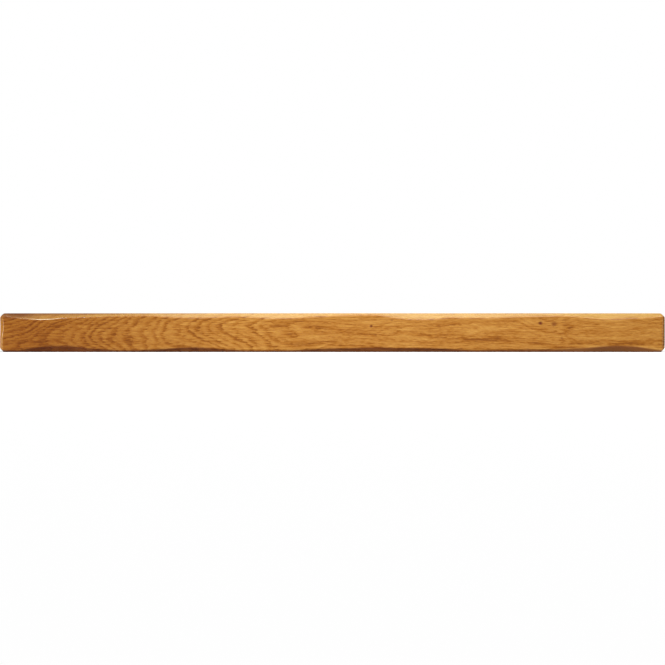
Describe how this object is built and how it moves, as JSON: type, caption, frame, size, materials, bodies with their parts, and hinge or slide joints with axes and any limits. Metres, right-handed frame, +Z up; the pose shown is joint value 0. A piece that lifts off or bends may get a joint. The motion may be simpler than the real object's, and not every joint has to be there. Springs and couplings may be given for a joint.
{
  "type": "oak mantel shelf",
  "caption": "Solid oak mantel beam with hand hewn wavy front arrises, chamfered ends and blind rod bores in its back, fixed over a fireplace as a floating shelf.",
  "frame": {"origin": "centre of the underside, on the surface the shelf stands on", "axes": "+X along the shelf to its right end as seen from the front, +Y from the front face to the wall, +Z up"},
  "size_m": [1.524, 0.14, 0.089],
  "materials": {
    "oiled_oak": "satin"
  },
  "bodies": {
    "root": {"oak_beam": "oiled_oak"}
  },
  "joints": []
}
